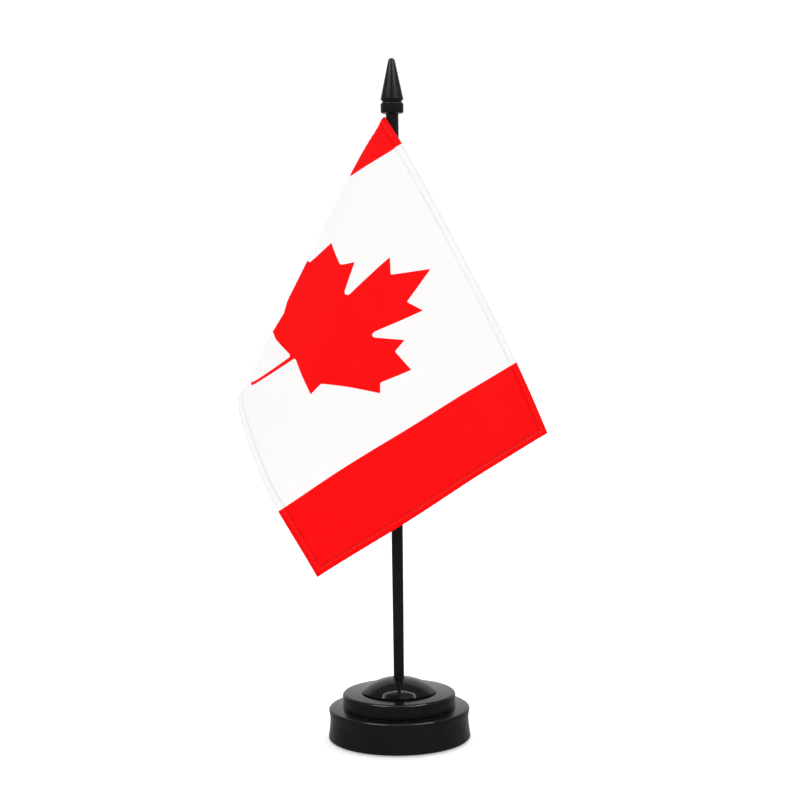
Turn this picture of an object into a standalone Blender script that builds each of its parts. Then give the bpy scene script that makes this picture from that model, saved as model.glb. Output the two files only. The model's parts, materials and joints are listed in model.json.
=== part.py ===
"""Desk flag stand: a two-tier round base, a push-in pole with a spear finial, and a small flag.

The row frame stands on the table: origin at the centre of the underside, +Z up, -Y to the front.
The shells of the base are clamped together by a flanged socket tube and its nut, a steel ballast
disc sits under them, and a screwed cover with a foam pad closes the underside. A soft bush in the
socket tube grips the foot of the pole.
"""

import math

import bmesh
import bpy
from mathutils import Matrix, Vector

# Gaps
GAP = 0.0003  # between two pieces that touch
BUSH_CLEARANCE = 0.0001  # radial, bush in socket tube
POLE_CLEARANCE = 0.00008  # radial, pole in bush
PEG_CLEARANCE = 0.0001  # radial, finial peg in its holes
HOLE_CLEARANCE = 0.0003  # radial, tube and screws in plain holes

# Foam pad and bottom cover
PAD_MARGIN = 0.0029  # pad's edge to the screw heads
PAD_THICKNESS = 0.0015
PAD_PROUD = 0.0008  # how far the pad stands below the rim
COVER_THICKNESS = 0.0016

# Lower tier, a shell with a waisted side
TIER_RADIUS = 0.0372  # at the foot
TIER_WAIST_INSET = 0.0011  # how much narrower the waist is
TIER_LIP_INSET = 0.0002  # how much narrower the upper edge is
TIER_HEIGHT = 0.0160
TIER_WAIST_HEIGHT = 0.0102  # above the rim
TIER_EDGE = 0.0012
SHELL_WALL = 0.0022

# Upper tier and dome
DISC_RADIUS = 0.0294
DISC_HEIGHT = 0.0073
DISC_EDGE = 0.0015
DOME_RADIUS = 0.0195
DOME_HEIGHT = 0.0073
DOME_FOOT_EDGE = 0.0005
DOME_WALL = 0.0018

# Socket tube, bush, ballast and their fixings
BUSH_WALL = 0.0010  # at the mouth
BUSH_FLOOR = 0.0014
TUBE_WALL = 0.0013
FLANGE_REACH = 0.0045  # beyond the tube
FLANGE_THICKNESS = 0.0016
NUT_REACH = 0.0025  # beyond the tube, to a flat
NUT_THICKNESS = 0.0024
WASHER_REACH = 0.0050  # beyond the tube
WASHER_THICKNESS = 0.0008
BALLAST_CHAMFER = 0.0006
BALLAST_CLEARANCE = 0.0013  # to the screw bosses

# Cover screws
SCREW_COUNT = 3
SCREW_SHANK_RADIUS = 0.0011
SCREW_HEAD_RADIUS = 0.0022
SCREW_HEAD_HEIGHT = 0.0011
SCREW_LENGTH = 0.0080
SCREW_TIP = 0.0012
BOSS_RADIUS = 0.0031
BOSS_CLEARANCE = 0.0007  # to the shell's side
RECESS_LENGTH = 0.0024
RECESS_WIDTH = 0.0006
RECESS_DEPTH = 0.0008

# Pole, thinner at its foot so that it wedges in the bush
POLE_TOP = 0.3239
POLE_RADIUS = 0.00325  # at the top
POLE_KNEE_HEIGHT = 0.095
POLE_KNEE_INSET = 0.00031  # how much thinner it is at the knee
POLE_FOOT_INSET = 0.00065  # how much thinner it is at the foot
POLE_EDGE = 0.0004

# Finial
COLLAR_RADIUS = 0.0059
COLLAR_HEIGHT = 0.0051
COLLAR_EDGE = 0.0007
SPEAR_RADIUS = 0.0059
SPEAR_HEIGHT = 0.0210
SPEAR_TIP_RADIUS = 0.0018
NECK_RADIUS = 0.0050
NECK_HEIGHT = 0.0007
SPEAR_CHAMFER = 0.0009
PEG_RADIUS = 0.0017
PEG_DEPTH = 0.0090  # into the pole

# Flag, cut as a rectangle and draped from its top corner
FLAG_HOIST = 0.140
FLAG_FREE_LENGTH = 0.185  # from the top corner to the fly edge
FLAG_THICKNESS = 0.0006
FLAG_DROP = 0.0016  # top corner below the collar
FLAG_TIP_CUT = 0.0012
SLEEVE_WALL = 0.0005
SLEEVE_EASE = 0.0003
SLEEVE_TOP_DROP = 0.0165  # sleeve's upper end below the top corner
# The drape as (sideways, depth) angles in degrees off the vertical, from the hoist to the top edge
DRAPE = ((-0.2, 0.4), (-9, 3.8), (-18, 4.6), (-25.4, 3.2), (-28.4, 0.6),
         (-25.6, -2.2), (-17, -5.0), (-6, -6.0), (4, -6.2), (15, -5.4), (26.6, -2.6))
DRAPE_FOLD = 4  # which of those is the fold line
WRAP_START = 155  # degrees round the pole where the cloth leaves the sleeve
WRAP_END = 225  # degrees round the pole where the front panel starts
WRAP_CLEARANCE = 0.0009  # cloth to sleeve
DRAPE_COLUMNS = 40
DRAPE_ROWS = 16

# Heights that follow from the stack
RIM_Z = PAD_PROUD
COVER_Z = PAD_THICKNESS + GAP
COVER_TOP_Z = COVER_Z + COVER_THICKNESS
TIER_TOP_Z = RIM_Z + TIER_HEIGHT
DISC_Z = TIER_TOP_Z + GAP
DISC_TOP_Z = DISC_Z + DISC_HEIGHT
DOME_Z = DISC_TOP_Z + GAP
DOME_TOP_Z = DOME_Z + DOME_HEIGHT
FLANGE_Z = DISC_TOP_Z + GAP
FLANGE_TOP_Z = FLANGE_Z + FLANGE_THICKNESS
TUBE_Z = COVER_TOP_Z + GAP
NUT_Z = COVER_TOP_Z + GAP
NUT_TOP_Z = NUT_Z + NUT_THICKNESS
WASHER_Z = NUT_TOP_Z + GAP
BALLAST_Z = WASHER_Z + WASHER_THICKNESS + GAP
BALLAST_TOP_Z = TIER_TOP_Z - SHELL_WALL - GAP
POLE_Z = TUBE_Z + BUSH_FLOOR + GAP
COLLAR_Z = POLE_TOP + GAP
COLLAR_TOP_Z = COLLAR_Z + COLLAR_HEIGHT
SPEAR_Z = COLLAR_TOP_Z + GAP
FLAG_TOP_Z = COLLAR_Z - FLAG_DROP
SLEEVE_TOP_Z = FLAG_TOP_Z - SLEEVE_TOP_DROP


def pole_radius(height):
    """The pole's radius at a height, on two straight tapers."""
    if height < POLE_KNEE_HEIGHT:
        share = (height - POLE_Z) / (POLE_KNEE_HEIGHT - POLE_Z)
        return POLE_RADIUS - POLE_FOOT_INSET + (POLE_FOOT_INSET - POLE_KNEE_INSET) * share
    share = (height - POLE_KNEE_HEIGHT) / (POLE_TOP - POLE_KNEE_HEIGHT)
    return POLE_RADIUS - POLE_KNEE_INSET * (1 - share)


# Widths that follow from what passes through or sits inside
BUSH_MOUTH_RADIUS = pole_radius(FLANGE_TOP_Z) + POLE_CLEARANCE
BUSH_RADIUS = BUSH_MOUTH_RADIUS + BUSH_WALL
TUBE_BORE_RADIUS = BUSH_RADIUS + BUSH_CLEARANCE
TUBE_RADIUS = TUBE_BORE_RADIUS + TUBE_WALL
TUBE_HOLE_RADIUS = TUBE_RADIUS + HOLE_CLEARANCE
FLANGE_RADIUS = TUBE_RADIUS + FLANGE_REACH
SCREW_CIRCLE = TIER_RADIUS - TIER_WAIST_INSET - SHELL_WALL - BOSS_CLEARANCE - BOSS_RADIUS
BALLAST_RADIUS = SCREW_CIRCLE - BOSS_RADIUS - BALLAST_CLEARANCE
PAD_RADIUS = SCREW_CIRCLE - SCREW_HEAD_RADIUS - PAD_MARGIN
SLEEVE_BORE_RADIUS = pole_radius(SLEEVE_TOP_Z) + SLEEVE_EASE
SLEEVE_RADIUS = SLEEVE_BORE_RADIUS + SLEEVE_WALL
WRAP_RADIUS = SLEEVE_RADIUS + WRAP_CLEARANCE + FLAG_THICKNESS / 2

# Facets round each kind of turned piece
WIDE_FACETS = 60
ROUND_FACETS = 32
SMALL_FACETS = 16


def clear_scene():
    for obj in list(bpy.data.objects):
        bpy.data.objects.remove(obj, do_unlink=True)


def make_material(name, colour, roughness, metallic=0.0):
    material = bpy.data.materials.new(name)
    material.use_nodes = True
    shader = material.node_tree.nodes["Principled BSDF"]
    shader.inputs["Base Color"].default_value = (*colour, 1.0)
    shader.inputs["Roughness"].default_value = roughness
    shader.inputs["Metallic"].default_value = metallic
    return material


def add_object(name, mesh, material, parent=None):
    obj = bpy.data.objects.new(name, mesh)
    bpy.context.scene.collection.objects.link(obj)
    mesh.materials.clear()
    mesh.materials.append(material)
    if parent is not None:
        obj.parent = parent
    return obj


def shade_round(mesh, angle=35):
    mesh.shade_smooth()
    mesh.set_sharp_from_angle(angle=math.radians(angle))


def arc(centre, radius, start, end, steps=4):
    """Points on an arc in the (radius, height) plane, with angles in degrees."""
    points = []
    for i in range(steps + 1):
        angle = math.radians(start + (end - start) * i / steps)
        points.append((centre[0] + radius * math.cos(angle), centre[1] + radius * math.sin(angle)))
    return points


def turned_mesh(name, profile, facets):
    """A profile of (radius, height) points, spun round Z. It is closed unless both ends are on the axis."""
    bm = bmesh.new()
    verts = [bm.verts.new((radius, 0, height)) for radius, height in profile]
    on_axis = profile[0][0] == 0 and profile[-1][0] == 0
    pairs = zip(verts, verts[1:] if on_axis else verts[1:] + verts[:1])
    edges = [bm.edges.new(pair) for pair in pairs]
    bmesh.ops.spin(bm, geom=verts + edges, axis=(0, 0, 1), cent=(0, 0, 0), steps=facets,
                   angle=math.tau, use_merge=True)
    bmesh.ops.remove_doubles(bm, verts=bm.verts, dist=1e-6)
    bmesh.ops.recalc_face_normals(bm, faces=bm.faces)
    mesh = bpy.data.meshes.new(name)
    bm.to_mesh(mesh)
    bm.free()
    shade_round(mesh)
    return mesh


def turned(name, profile, material, facets=ROUND_FACETS, parent=None):
    return add_object(name, turned_mesh(name, profile, facets), material, parent)


def cutter_cylinder(name, radius, low, high, place=(0, 0), facets=SMALL_FACETS):
    """A hidden solid cylinder between two heights."""
    bm = bmesh.new()
    bmesh.ops.create_cone(bm, cap_ends=True, segments=facets, radius1=radius, radius2=radius,
                          depth=high - low,
                          matrix=Matrix.Translation((place[0], place[1], (low + high) / 2)))
    mesh = bpy.data.meshes.new(name)
    bm.to_mesh(mesh)
    bm.free()
    helper = bpy.data.objects.new(name, mesh)
    bpy.context.scene.collection.objects.link(helper)
    helper.hide_render = True
    helper.display_type = "WIRE"
    return helper


def apply_boolean(obj, helper, operation):
    modifier = obj.modifiers.new(operation.lower(), "BOOLEAN")
    modifier.operation = operation
    modifier.solver = "EXACT"
    modifier.object = helper


def screw_places():
    """The centres of the cover screws, the first at the back."""
    places = []
    for i in range(SCREW_COUNT):
        angle = math.tau * i / SCREW_COUNT + math.pi / 2
        places.append((SCREW_CIRCLE * math.cos(angle), SCREW_CIRCLE * math.sin(angle)))
    return places


def tier_side(inset, low, high, steps):
    """The waisted side from low to high, moved in by inset: two curves that meet at the waist."""
    waist = RIM_Z + TIER_WAIST_HEIGHT
    waist_radius = TIER_RADIUS - TIER_WAIST_INSET
    points = []
    for i in range(steps + 1):
        height = low + (high - low) * i / steps
        if height < waist:
            share = (waist - height) / (waist - RIM_Z)
            radius = waist_radius + TIER_WAIST_INSET * share**1.6
        else:
            share = (height - waist) / (TIER_TOP_Z - waist)
            radius = waist_radius + (TIER_WAIST_INSET - TIER_LIP_INSET) * share**1.8
        points.append((radius - inset, height))
    return points


def lower_tier(material):
    hole = TUBE_HOLE_RADIUS
    outer = tier_side(0, RIM_Z + TIER_EDGE / 2, TIER_TOP_Z - TIER_EDGE, 9)
    lip_centre = (outer[-1][0] - TIER_EDGE, TIER_TOP_Z - TIER_EDGE)
    inner = tier_side(SHELL_WALL, RIM_Z, TIER_TOP_Z - SHELL_WALL, 3)
    profile = [(inner[0][0], RIM_Z), (outer[0][0] - TIER_EDGE / 2, RIM_Z)]
    profile += outer
    profile += arc(lip_centre, TIER_EDGE, 0, 90)[1:]
    profile += [(hole, TIER_TOP_Z), (hole, TIER_TOP_Z - SHELL_WALL)]
    profile += inner[:0:-1]
    shell = turned("lower_tier_shell", profile, material, WIDE_FACETS)
    boss_low = COVER_TOP_Z + GAP
    boss_high = TIER_TOP_Z - SHELL_WALL / 2
    for i, place in enumerate(screw_places(), start=1):
        boss = cutter_cylinder(f"boss_{i}", BOSS_RADIUS, boss_low, boss_high, place)
        apply_boolean(shell, boss, "UNION")
    for i, place in enumerate(screw_places(), start=1):
        pilot_top = COVER_Z + SCREW_LENGTH + GAP
        pilot = cutter_cylinder(f"pilot_{i}", SCREW_SHANK_RADIUS + GAP, boss_low - GAP, pilot_top, place)
        apply_boolean(shell, pilot, "DIFFERENCE")
    return shell


def upper_tier(material):
    hole = TUBE_HOLE_RADIUS
    hub = hole + SHELL_WALL
    edge_centre = (DISC_RADIUS - DISC_EDGE, DISC_TOP_Z - DISC_EDGE)
    roof = DISC_TOP_Z - SHELL_WALL
    profile = [(DISC_RADIUS - SHELL_WALL, DISC_Z), (DISC_RADIUS, DISC_Z)]
    profile += arc(edge_centre, DISC_EDGE, 0, 90, 5)
    profile += [(hole, DISC_TOP_Z), (hole, DISC_Z), (hub, DISC_Z), (hub, roof)]
    profile += [(DISC_RADIUS - SHELL_WALL, roof)]
    return turned("upper_tier_disc", profile, material, WIDE_FACETS)


def dome_curve(radius, low, height, inner_radius, steps):
    """A shallow cap from its foot to inner_radius, on one circle through the foot and the crown."""
    ball = (radius**2 + height**2) / (2 * height)
    centre = low + height - ball
    foot = math.asin(radius / ball)
    end = math.asin(inner_radius / ball)
    points = []
    for i in range(steps + 1):
        angle = foot + (end - foot) * i / steps
        points.append((ball * math.sin(angle), centre + ball * math.cos(angle)))
    return points


def dome(material):
    hole = pole_radius(DOME_TOP_Z) + HOLE_CLEARANCE
    cavity = FLANGE_RADIUS + GAP
    cavity_top = FLANGE_TOP_Z + GAP
    foot = DOME_Z + DOME_FOOT_EDGE
    curve = dome_curve(DOME_RADIUS, foot, DOME_HEIGHT - DOME_FOOT_EDGE, hole, 9)
    spread = DOME_RADIUS - DOME_WALL
    profile = [(spread, DOME_Z), (DOME_RADIUS, DOME_Z)]
    profile += curve
    profile += [(hole, cavity_top), (cavity, cavity_top), (cavity, DOME_Z)]
    profile += [(cavity + DOME_WALL, DOME_Z), (cavity + DOME_WALL, cavity_top), (spread, cavity_top)]
    return turned("dome_cap", profile, material, WIDE_FACETS)


def socket_tube(material):
    profile = [(TUBE_BORE_RADIUS, TUBE_Z), (TUBE_RADIUS, TUBE_Z), (TUBE_RADIUS, FLANGE_Z),
               (FLANGE_RADIUS, FLANGE_Z), (FLANGE_RADIUS, FLANGE_TOP_Z), (TUBE_BORE_RADIUS, FLANGE_TOP_Z)]
    return turned("socket_tube", profile, material)


def grip_bush(material, parent):
    bore_foot = pole_radius(POLE_Z) + POLE_CLEARANCE
    floor_top = TUBE_Z + BUSH_FLOOR
    profile = [(0, TUBE_Z), (BUSH_RADIUS, TUBE_Z), (BUSH_RADIUS, FLANGE_TOP_Z),
               (BUSH_MOUTH_RADIUS, FLANGE_TOP_Z), (bore_foot, floor_top), (0, floor_top)]
    return turned("grip_bush", profile, material, parent=parent)


def washer(material):
    hole = TUBE_HOLE_RADIUS
    radius = TUBE_RADIUS + WASHER_REACH
    top = WASHER_Z + WASHER_THICKNESS
    profile = [(hole, WASHER_Z), (radius, WASHER_Z), (radius, top), (hole, top)]
    return turned("socket_washer", profile, material)


def nut(material):
    corner = (TUBE_RADIUS + NUT_REACH) / math.cos(math.pi / 6)
    body = cutter_cylinder("socket_nut", corner, NUT_Z, NUT_TOP_Z, facets=6)
    body.hide_render = False
    body.display_type = "TEXTURED"
    body.data.materials.append(material)
    bore = cutter_cylinder("nut_bore", TUBE_HOLE_RADIUS, NUT_Z - GAP, NUT_TOP_Z + GAP, facets=ROUND_FACETS)
    apply_boolean(body, bore, "DIFFERENCE")
    return body


def ballast(material):
    hole = TUBE_HOLE_RADIUS
    inset = BALLAST_RADIUS - BALLAST_CHAMFER
    profile = [(hole, BALLAST_Z), (inset, BALLAST_Z), (BALLAST_RADIUS, BALLAST_Z + BALLAST_CHAMFER),
               (BALLAST_RADIUS, BALLAST_TOP_Z - BALLAST_CHAMFER), (inset, BALLAST_TOP_Z),
               (hole, BALLAST_TOP_Z)]
    return turned("ballast_disc", profile, material, WIDE_FACETS)


def bottom_cover(material):
    edge = tier_side(SHELL_WALL + GAP, COVER_Z, COVER_TOP_Z, 1)
    radius = min(point[0] for point in edge)
    profile = [(0, COVER_Z), (radius, COVER_Z), (radius, COVER_TOP_Z), (0, COVER_TOP_Z)]
    cover = turned("bottom_cover", profile, material, WIDE_FACETS)
    for i, place in enumerate(screw_places(), start=1):
        hole = turned(f"screw_hole_{i}", countersink(HOLE_CLEARANCE), material, SMALL_FACETS)
        hole.location = (*place, COVER_Z)
        hole.hide_render = True
        hole.display_type = "WIRE"
        apply_boolean(cover, hole, "DIFFERENCE")
    return cover


def countersink(clearance):
    """The space that a screw fills in the cover, grown by clearance and open at both faces."""
    head = SCREW_HEAD_RADIUS + clearance
    shank = SCREW_SHANK_RADIUS + clearance
    return [(0, -GAP), (head, -GAP), (head, 0), (shank, SCREW_HEAD_HEIGHT),
            (shank, COVER_THICKNESS + GAP), (0, COVER_THICKNESS + GAP)]


def screw_mesh():
    """One countersunk screw, head down, with a cross recess."""
    profile = [(0, 0), (SCREW_HEAD_RADIUS, 0), (SCREW_SHANK_RADIUS, SCREW_HEAD_HEIGHT),
               (SCREW_SHANK_RADIUS, SCREW_LENGTH - SCREW_TIP), (0, SCREW_LENGTH)]
    return turned_mesh("cover_screw", profile, SMALL_FACETS)


def cross_cutter(place):
    """Two crossed bars as deep as a driver's recess."""
    bm = bmesh.new()
    half = RECESS_WIDTH / 2
    reach = RECESS_LENGTH / 2
    outline = [(half, half), (half, reach), (-half, reach), (-half, half), (-reach, half), (-reach, -half),
               (-half, -half), (-half, -reach), (half, -reach), (half, -half), (reach, -half), (reach, half)]
    face = bm.faces.new([bm.verts.new((x + place[0], y + place[1], COVER_Z - GAP)) for x, y in outline])
    moved = bmesh.ops.extrude_face_region(bm, geom=[face])["geom"]
    verts = [item for item in moved if isinstance(item, bmesh.types.BMVert)]
    bmesh.ops.translate(bm, verts=verts, vec=(0, 0, RECESS_DEPTH + GAP))
    bmesh.ops.recalc_face_normals(bm, faces=bm.faces)
    mesh = bpy.data.meshes.new("cross_cutter")
    bm.to_mesh(mesh)
    bm.free()
    helper = bpy.data.objects.new("cross_cutter", mesh)
    bpy.context.scene.collection.objects.link(helper)
    helper.hide_render = True
    helper.display_type = "WIRE"
    return helper


def cover_screws(material):
    mesh = screw_mesh()
    for i, place in enumerate(screw_places(), start=1):
        screw = add_object(f"cover_screw_{i}", mesh, material)
        screw.location = (*place, COVER_Z)
        apply_boolean(screw, cross_cutter(place), "DIFFERENCE")


def foam_pad(material):
    profile = [(0, 0), (PAD_RADIUS, 0), (PAD_RADIUS, PAD_THICKNESS), (0, PAD_THICKNESS)]
    return turned("foam_pad", profile, material, WIDE_FACETS)


def pole(material, parent):
    bore = PEG_RADIUS + PEG_CLEARANCE
    bore_floor = POLE_TOP - PEG_DEPTH - GAP
    profile = [(0, POLE_Z), (pole_radius(POLE_Z) - POLE_EDGE, POLE_Z)]
    for height in (POLE_Z + POLE_EDGE, POLE_KNEE_HEIGHT, POLE_TOP):
        profile.append((pole_radius(height), height))
    profile += [(bore, POLE_TOP), (bore, bore_floor), (0, bore_floor)]
    return turned("pole", profile, material, parent=parent)


def finial_collar(material, parent):
    hole = PEG_RADIUS + PEG_CLEARANCE
    low = (COLLAR_RADIUS - COLLAR_EDGE, COLLAR_Z + COLLAR_EDGE)
    high = (COLLAR_RADIUS - COLLAR_EDGE, COLLAR_TOP_Z - COLLAR_EDGE)
    profile = [(hole, COLLAR_Z)] + arc(low, COLLAR_EDGE, -90, 0) + arc(high, COLLAR_EDGE, 0, 90)
    profile += [(hole, COLLAR_TOP_Z)]
    return turned("finial_collar", profile, material, parent=parent)


def finial_spear(material, parent):
    top = SPEAR_Z + NECK_HEIGHT + SPEAR_CHAMFER + SPEAR_HEIGHT
    shoulder = (SPEAR_RADIUS, SPEAR_Z + NECK_HEIGHT + SPEAR_CHAMFER)
    slope = math.degrees(math.atan2(SPEAR_RADIUS - SPEAR_TIP_RADIUS, SPEAR_HEIGHT - SPEAR_TIP_RADIUS))
    tip_centre = (0, top - SPEAR_TIP_RADIUS)
    peg_foot = POLE_TOP - PEG_DEPTH
    profile = [(0, peg_foot), (PEG_RADIUS, peg_foot), (PEG_RADIUS, SPEAR_Z), (NECK_RADIUS, SPEAR_Z),
               (NECK_RADIUS, SPEAR_Z + NECK_HEIGHT), shoulder]
    profile += arc(tip_centre, SPEAR_TIP_RADIUS, slope, 90, 6)[:-1]
    profile += [(0, top)]
    return turned("finial_spear", profile, material, parent=parent)


def smooth_point(points, position):
    """A point on the Catmull-Rom curve through the points, position 0 at the first."""
    index = min(int(position), len(points) - 2)
    share = position - index
    before = points[max(index - 1, 0)]
    start = points[index]
    end = points[index + 1]
    after = points[min(index + 2, len(points) - 1)]
    result = []
    for p0, p1, p2, p3 in zip(before, start, end, after):
        value = p1 + 0.5 * share * (p2 - p0 + share * (2 * p0 - 5 * p1 + 4 * p2 - p3
                                                       + share * (3 * p1 - p0 - 3 * p2 + p3)))
        result.append(value)
    return result


def drape_ray(position):
    """(start, direction) of the straight line that the cloth follows at a place along the drape."""
    sideways, depth = smooth_point(DRAPE, position)
    direction = Vector((math.tan(math.radians(sideways)), math.tan(math.radians(depth)), -1)).normalized()
    wrapped = min(position / DRAPE_FOLD, 1)
    turn = math.radians(WRAP_START + (WRAP_END - WRAP_START) * wrapped)
    start = Vector((WRAP_RADIUS * math.cos(turn), WRAP_RADIUS * math.sin(turn), FLAG_TOP_Z))
    return start, direction


def drape_columns():
    """Places along the drape with their flat angle from the hoist, a column of them on the fly corner."""
    fine = 400
    last = len(DRAPE) - 1
    places = [last * i / fine for i in range(fine + 1)]
    turned_by = [0.0]
    for before, after in zip(places, places[1:]):
        turned_by.append(turned_by[-1] + drape_ray(before)[1].angle(drape_ray(after)[1]))
    right_angle = math.pi / 2
    flat = [angle * right_angle / turned_by[-1] for angle in turned_by]
    corner = math.atan2(FLAG_FREE_LENGTH, FLAG_HOIST)
    to_corner = round(DRAPE_COLUMNS * corner / right_angle)
    wanted = [corner * i / to_corner for i in range(to_corner)]
    rest = DRAPE_COLUMNS - to_corner
    wanted += [corner + (right_angle - corner) * i / rest for i in range(rest + 1)]
    columns = []
    index = 0
    for angle in wanted:
        while index < fine - 1 and flat[index + 1] < angle:
            index += 1
        share = (angle - flat[index]) / (flat[index + 1] - flat[index])
        columns.append((places[index] + share * (places[index + 1] - places[index]), angle))
    return columns


def flag_cloth(material, parent):
    bm = bmesh.new()
    grid = []
    for position, angle in drape_columns():
        start, direction = drape_ray(position)
        to_foot = FLAG_HOIST / max(math.cos(angle), 1e-9)
        to_fly = FLAG_FREE_LENGTH / max(math.sin(angle), 1e-9)
        reach = min(to_foot, to_fly)
        column = []
        for row in range(DRAPE_ROWS + 1):
            along = FLAG_TIP_CUT + (reach - FLAG_TIP_CUT) * row / DRAPE_ROWS
            column.append(bm.verts.new(start + direction * along))
        grid.append(column)
    for left, right in zip(grid, grid[1:]):
        for row in range(DRAPE_ROWS):
            bm.faces.new((left[row], right[row], right[row + 1], left[row + 1]))
    bmesh.ops.recalc_face_normals(bm, faces=bm.faces)
    mesh = bpy.data.meshes.new("flag_cloth")
    bm.to_mesh(mesh)
    bm.free()
    shade_round(mesh, 60)
    cloth = add_object("flag_cloth", mesh, material, parent)
    thicken = cloth.modifiers.new("thickness", "SOLIDIFY")
    thicken.thickness = FLAG_THICKNESS
    thicken.offset = 0
    return cloth


def flag_sleeve(material, parent):
    foot = FLAG_TOP_Z - FLAG_HOIST
    profile = [(SLEEVE_BORE_RADIUS, foot), (SLEEVE_RADIUS, foot), (SLEEVE_RADIUS, SLEEVE_TOP_Z),
               (SLEEVE_BORE_RADIUS, SLEEVE_TOP_Z)]
    return turned("flag_sleeve", profile, material, parent=parent)


def axis_empty(name, parent=None):
    """An empty on the stand's axis that a moving group hangs from."""
    empty = bpy.data.objects.new(name, None)
    bpy.context.scene.collection.objects.link(empty)
    empty.parent = parent
    return empty


def main():
    clear_scene()
    gloss_black = make_material("gloss_black_plastic", (0.006, 0.006, 0.007), 0.12)
    satin_black = make_material("satin_black_plastic", (0.010, 0.010, 0.011), 0.38)
    cloth = make_material("printed_polyester", (0.80, 0.02, 0.02), 0.75)
    steel = make_material("zinc_plated_steel", (0.62, 0.62, 0.60), 0.35, 1.0)
    iron = make_material("ballast_iron", (0.20, 0.20, 0.21), 0.60, 1.0)
    soft = make_material("soft_bush", (0.05, 0.05, 0.05), 0.70)
    foam = make_material("black_foam", (0.03, 0.03, 0.03), 0.95)

    lower_tier(gloss_black)
    upper_tier(gloss_black)
    dome(gloss_black)
    socket_tube(steel)
    washer(steel)
    nut(steel)
    ballast(iron)
    bottom_cover(satin_black)
    cover_screws(steel)
    foam_pad(foam)

    turning = axis_empty("pole_turn_axis")
    lifted = axis_empty("pole_lift_axis", turning)
    grip_bush(soft, turning)
    pole(satin_black, lifted)
    finial_lift = axis_empty("finial_lift_axis", lifted)
    finial_collar(satin_black, finial_lift)
    finial_spear(satin_black, finial_lift)
    flag_turn = axis_empty("flag_turn_axis", lifted)
    flag_cloth(cloth, flag_turn)
    flag_sleeve(cloth, flag_turn)


main()
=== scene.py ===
"""The looks of the desk flag stand: its draped flag, its moulded plastics, and the studio it stands in."""

import json
import math

import bpy
from mathutils import Matrix, Vector
from mathutils.geometry import delaunay_2d_cdt


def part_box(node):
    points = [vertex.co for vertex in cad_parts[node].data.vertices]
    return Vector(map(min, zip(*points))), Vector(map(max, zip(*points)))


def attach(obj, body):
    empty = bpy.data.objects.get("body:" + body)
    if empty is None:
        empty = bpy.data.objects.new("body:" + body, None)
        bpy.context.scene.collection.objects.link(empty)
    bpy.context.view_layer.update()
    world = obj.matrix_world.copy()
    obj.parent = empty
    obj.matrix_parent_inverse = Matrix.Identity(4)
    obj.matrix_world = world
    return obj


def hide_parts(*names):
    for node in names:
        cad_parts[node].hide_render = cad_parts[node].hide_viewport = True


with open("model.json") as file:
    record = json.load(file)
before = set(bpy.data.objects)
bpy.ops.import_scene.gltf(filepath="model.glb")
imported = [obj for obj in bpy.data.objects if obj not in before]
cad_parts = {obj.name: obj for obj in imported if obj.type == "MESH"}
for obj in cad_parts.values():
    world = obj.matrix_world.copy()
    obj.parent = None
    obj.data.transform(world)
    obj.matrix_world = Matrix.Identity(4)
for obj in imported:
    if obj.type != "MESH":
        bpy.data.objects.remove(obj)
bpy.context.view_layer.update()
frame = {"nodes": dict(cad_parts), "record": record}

# Places that come from the frame
SLEEVE_LOW, SLEEVE_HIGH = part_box("flag_sleeve")
SLEEVE_RADIUS = SLEEVE_HIGH.x
FLAG_TOP = SLEEVE_HIGH.z + 0.0165  # the flag's top corner stands this far above its sleeve

# The flag's cut and print, in metres: across runs from the hoist, down from the top edge
FLAG_HOIST = 0.140
FLAG_LENGTH = 0.190
FLAG_THICKNESS = 0.00030
WRAP_LENGTH = 0.0062  # how much of the cloth's length goes round the pole
GRID = 0.0016  # how far apart the cloth's points lie
CLOSEST = 0.62  # no other point lies nearer to a line of the print than this share of the grid
HOIST_BAND = 0.0226
BAND_LEAN = 0.0021  # how far the hoist band's edge leans out
BAND_LEAN_LENGTH = 0.031  # and over how much of its length, from the top
FLY_BAND = 0.0401
MAP_SIDE = 0.2  # the length of cloth that one side of its UV map holds
WEAVE_PITCH = 0.00050
LEAF_AXIS = 0.0860
LEAF_TIP = 0.0182

# The printed leaf from its tip to its stem, down each side: (down from the tip, half width, fillet).
# The hoist side lies on the fold, where the print runs lower.
LEAF_FLY_SIDE = (
    (0.0000, 0.0000, 0), (0.0180, 0.0082, 0.0006), (0.0133, 0.0163, 0), (0.0442, 0.0122, 0.0014),
    (0.0280, 0.0243, 0), (0.0348, 0.0268, 0.0010), (0.0323, 0.0392, 0), (0.0483, 0.0367, 0.0012),
    (0.0509, 0.0413, 0), (0.0734, 0.0205, 0.0013), (0.0802, 0.0221, 0), (0.0788, 0.0020, 0.0012),
    (0.1095, 0.0021, 0),
)
LEAF_HOIST_SIDE = (
    (0.0000, 0.0000, 0), (0.0180, 0.0080, 0.0006), (0.0141, 0.0160, 0), (0.0456, 0.0093, 0.0016),
    (0.0298, 0.0232, 0), (0.0361, 0.0260, 0.0013), (0.0352, 0.0380, 0), (0.0525, 0.0352, 0.0018),
    (0.0570, 0.0420, 0), (0.0772, 0.0200, 0.0013), (0.0877, 0.0150, 0), (0.0804, 0.0000, 0.0012),
    (0.1095, -0.0009, 0),
)

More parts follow.
